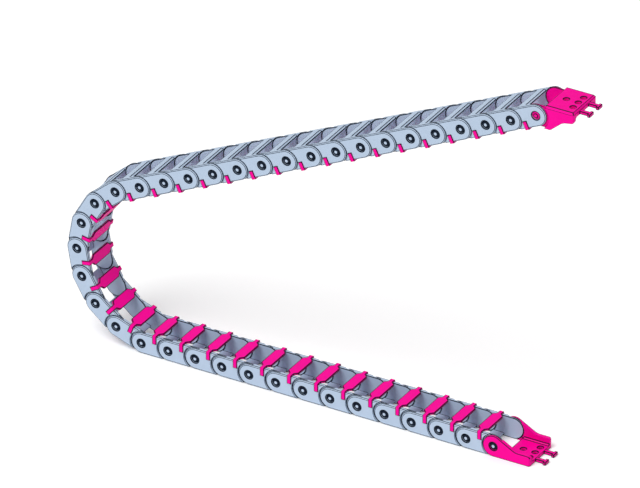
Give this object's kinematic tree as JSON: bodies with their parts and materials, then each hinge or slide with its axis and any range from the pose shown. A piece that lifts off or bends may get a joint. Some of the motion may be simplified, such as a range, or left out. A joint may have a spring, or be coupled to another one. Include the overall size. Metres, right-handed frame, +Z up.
{
  "type": "cable drag chain",
  "caption": "Cable drag chain of clip-together plastic links with clip-on crossbars, bent back over itself, with a screw-down bracket at each end.",
  "frame": {"origin": "middle hole of the fixed bracket's row of three, on the bracket's bottom mounting face", "axes": "+X from the chain towards the fixed bracket's free end, along the lower run; +Y across the chain; +Z up, out of the mounting surface"},
  "size_m": [0.6647, 0.0526, 0.4668],
  "materials": {
    "link_plastic": "moulded glass-filled nylon, light steel blue",
    "snap_plastic": "moulded nylon, magenta"
  },
  "bodies": {
    "fixed_bracket": {"fixed_bracket": "snap_plastic"},
    "link_01": {"link_01": "link_plastic", "crossbar_01": "snap_plastic"},
    "link_02": {"link_02": "link_plastic", "crossbar_02": "snap_plastic"},
    "link_03": {"link_03": "link_plastic", "crossbar_03": "snap_plastic"},
    "link_04": {"link_04": "link_plastic", "crossbar_04": "snap_plastic"},
    "link_05": {"link_05": "link_plastic", "crossbar_05": "snap_plastic"},
    "link_06": {"link_06": "link_plastic", "crossbar_06": "snap_plastic"},
    "link_07": {"link_07": "link_plastic", "crossbar_07": "snap_plastic"},
    "link_08": {"link_08": "link_plastic", "crossbar_08": "snap_plastic"},
    "link_09": {"link_09": "link_plastic", "crossbar_09": "snap_plastic"},
    "link_10": {"link_10": "link_plastic", "crossbar_10": "snap_plastic"},
    "link_11": {"link_11": "link_plastic", "crossbar_11": "snap_plastic"},
    "link_12": {"link_12": "link_plastic", "crossbar_12": "snap_plastic"},
    "link_13": {"link_13": "link_plastic", "crossbar_13": "snap_plastic"},
    "link_14": {"link_14": "link_plastic", "crossbar_14": "snap_plastic"},
    "link_15": {"link_15": "link_plastic", "crossbar_15": "snap_plastic"},
    "link_16": {"link_16": "link_plastic", "crossbar_16": "snap_plastic"},
    "link_17": {"link_17": "link_plastic", "crossbar_17": "snap_plastic"},
    "link_18": {"link_18": "link_plastic", "crossbar_18": "snap_plastic"},
    "link_19": {"link_19": "link_plastic", "crossbar_19": "snap_plastic"},
    "link_20": {"link_20": "link_plastic", "crossbar_20": "snap_plastic"},
    "link_21": {"link_21": "link_plastic"},
    "link_22": {"link_22": "link_plastic"},
    "link_23": {"link_23": "link_plastic"},
    "link_24": {"link_24": "link_plastic"},
    "link_25": {"link_25": "link_plastic"},
    "link_26": {"link_26": "link_plastic"},
    "link_27": {"link_27": "link_plastic"},
    "link_28": {"link_28": "link_plastic"},
    "link_29": {"link_29": "link_plastic"},
    "link_30": {"link_30": "link_plastic"},
    "link_31": {"link_31": "link_plastic"},
    "link_32": {"link_32": "link_plastic"},
    "link_33": {"link_33": "link_plastic"},
    "link_34": {"link_34": "link_plastic"},
    "link_35": {"link_35": "link_plastic"},
    "link_36": {"link_36": "link_plastic"},
    "link_37": {"link_37": "link_plastic"},
    "moving_bracket": {"moving_bracket": "snap_plastic"}
  },
  "joints": [
    {"name": "pivot_01", "type": "hinge", "parent": "fixed_bracket", "child": "link_01", "pos_m": [-0.0395, 0, 0.013], "axis": [0, -1, 0], "range_deg": [-20, 0]},
    {"name": "pivot_02", "type": "hinge", "parent": "link_01", "child": "link_02", "pos_m": [-0.0745, 0, 0.013], "axis": [0, -1, 0], "range_deg": [-20, 0]},
    {"name": "pivot_03", "type": "hinge", "parent": "link_02", "child": "link_03", "pos_m": [-0.1095, 0, 0.013], "axis": [0, 1, 0], "range_deg": [0, 20]},
    {"name": "pivot_04", "type": "hinge", "parent": "link_03", "child": "link_04", "pos_m": [-0.1445, 0, 0.013], "axis": [0, -1, 0], "range_deg": [-20, 0]},
    {"name": "pivot_05", "type": "hinge", "parent": "link_04", "child": "link_05", "pos_m": [-0.1795, 0, 0.013], "axis": [0, -1, 0], "range_deg": [-20, 0]},
    {"name": "pivot_06", "type": "hinge", "parent": "link_05", "child": "link_06", "pos_m": [-0.2145, 0, 0.013], "axis": [0, 1, 0], "range_deg": [0, 20]},
    {"name": "pivot_07", "type": "hinge", "parent": "link_06", "child": "link_07", "pos_m": [-0.2495, 0, 0.013], "axis": [0, -1, 0], "range_deg": [-20, 0]},
    {"name": "pivot_08", "type": "hinge", "parent": "link_07", "child": "link_08", "pos_m": [-0.2845, 0, 0.013], "axis": [0, -1, 0], "range_deg": [-20, 0]},
    {"name": "pivot_09", "type": "hinge", "parent": "link_08", "child": "link_09", "pos_m": [-0.3195, 0, 0.013], "axis": [0, 1, 0], "range_deg": [0, 20]},
    {"name": "pivot_10", "type": "hinge", "parent": "link_09", "child": "link_10", "pos_m": [-0.3545, 0, 0.013], "axis": [0, -1, 0], "range_deg": [-20, 0]},
    {"name": "pivot_11", "type": "hinge", "parent": "link_10", "child": "link_11", "pos_m": [-0.3895, 0, 0.013], "axis": [0, -1, 0], "range_deg": [-20, 0]},
    {"name": "pivot_12", "type": "hinge", "parent": "link_11", "child": "link_12", "pos_m": [-0.4245, 0, 0.013], "axis": [0, 1, 0], "range_deg": [0, 20]},
    {"name": "pivot_13", "type": "hinge", "parent": "link_12", "child": "link_13", "pos_m": [-0.4595, 0, 0.013], "axis": [0, -1, 0], "range_deg": [-20, 0]},
    {"name": "pivot_14", "type": "hinge", "parent": "link_13", "child": "link_14", "pos_m": [-0.4945, 0, 0.013], "axis": [0, -1, 0], "range_deg": [0, 20]},
    {"name": "pivot_15", "type": "hinge", "parent": "link_14", "child": "link_15", "pos_m": [-0.52739, 0, 0.02497], "axis": [0, 1, 0], "range_deg": [-20, 0]},
    {"name": "pivot_16", "type": "hinge", "parent": "link_15", "child": "link_16", "pos_m": [-0.5542, 0, 0.04747], "axis": [0, -1, 0], "range_deg": [0, 20]},
    {"name": "pivot_17", "type": "hinge", "parent": "link_16", "child": "link_17", "pos_m": [-0.5717, 0, 0.07778], "axis": [0, -1, 0], "range_deg": [0, 20]},
    {"name": "pivot_18", "type": "hinge", "parent": "link_17", "child": "link_18", "pos_m": [-0.57778, 0, 0.11225], "axis": [0, 1, 0], "range_deg": [-20, 0]},
    {"name": "pivot_19", "type": "hinge", "parent": "link_18", "child": "link_19", "pos_m": [-0.5717, 0, 0.14672], "axis": [0, -1, 0], "range_deg": [0, 20]},
    {"name": "pivot_20", "type": "hinge", "parent": "link_19", "child": "link_20", "pos_m": [-0.5542, 0, 0.17703], "axis": [0, 1, 0], "range_deg": [-20, 0]},
    {"name": "pivot_21", "type": "hinge", "parent": "link_20", "child": "link_21", "pos_m": [-0.52739, 0, 0.19952], "axis": [0, -1, 0], "range_deg": [-5, 15]},
    {"name": "pivot_22", "type": "hinge", "parent": "link_21", "child": "link_22", "pos_m": [-0.49567, 0, 0.21432], "axis": [0, 1, 0], "range_deg": [0, 20]},
    {"name": "pivot_23", "type": "hinge", "parent": "link_22", "child": "link_23", "pos_m": [-0.46395, 0, 0.22911], "axis": [0, 1, 0], "range_deg": [0, 20]},
    {"name": "pivot_24", "type": "hinge", "parent": "link_23", "child": "link_24", "pos_m": [-0.43223, 0, 0.2439], "axis": [0, -1, 0], "range_deg": [-20, 0]},
    {"name": "pivot_25", "type": "hinge", "parent": "link_24", "child": "link_25", "pos_m": [-0.40051, 0, 0.25869], "axis": [0, 1, 0], "range_deg": [0, 20]},
    {"name": "pivot_26", "type": "hinge", "parent": "link_25", "child": "link_26", "pos_m": [-0.36878, 0, 0.27348], "axis": [0, 1, 0], "range_deg": [0, 20]},
    {"name": "pivot_27", "type": "hinge", "parent": "link_26", "child": "link_27", "pos_m": [-0.33707, 0, 0.28827], "axis": [0, -1, 0], "range_deg": [-20, 0]},
    {"name": "pivot_28", "type": "hinge", "parent": "link_27", "child": "link_28", "pos_m": [-0.30534, 0, 0.30307], "axis": [0, 1, 0], "range_deg": [0, 20]},
    {"name": "pivot_29", "type": "hinge", "parent": "link_28", "child": "link_29", "pos_m": [-0.27362, 0, 0.31786], "axis": [0, 1, 0], "range_deg": [0, 20]},
    {"name": "pivot_30", "type": "hinge", "parent": "link_29", "child": "link_30", "pos_m": [-0.2419, 0, 0.33265], "axis": [0, -1, 0], "range_deg": [-20, 0]},
    {"name": "pivot_31", "type": "hinge", "parent": "link_30", "child": "link_31", "pos_m": [-0.21018, 0, 0.34744], "axis": [0, 1, 0], "range_deg": [0, 20]},
    {"name": "pivot_32", "type": "hinge", "parent": "link_31", "child": "link_32", "pos_m": [-0.17846, 0, 0.36223], "axis": [0, 1, 0], "range_deg": [0, 20]},
    {"name": "pivot_33", "type": "hinge", "parent": "link_32", "child": "link_33", "pos_m": [-0.14674, 0, 0.37702], "axis": [0, -1, 0], "range_deg": [-20, 0]},
    {"name": "pivot_34", "type": "hinge", "parent": "link_33", "child": "link_34", "pos_m": [-0.11502, 0, 0.39182], "axis": [0, 1, 0], "range_deg": [0, 20]},
    {"name": "pivot_35", "type": "hinge", "parent": "link_34", "child": "link_35", "pos_m": [-0.0833, 0, 0.40661], "axis": [0, 1, 0], "range_deg": [0, 20]},
    {"name": "pivot_36", "type": "hinge", "parent": "link_35", "child": "link_36", "pos_m": [-0.05158, 0, 0.4214], "axis": [0, -1, 0], "range_deg": [-20, 0]},
    {"name": "pivot_37", "type": "hinge", "parent": "link_36", "child": "link_37", "pos_m": [-0.01986, 0, 0.43619], "axis": [0, 1, 0], "range_deg": [0, 20]},
    {"name": "pivot_38", "type": "hinge", "parent": "link_37", "child": "moving_bracket", "pos_m": [0.01186, 0, 0.45098], "axis": [0, 1, 0], "range_deg": [-25, 5]}
  ]
}
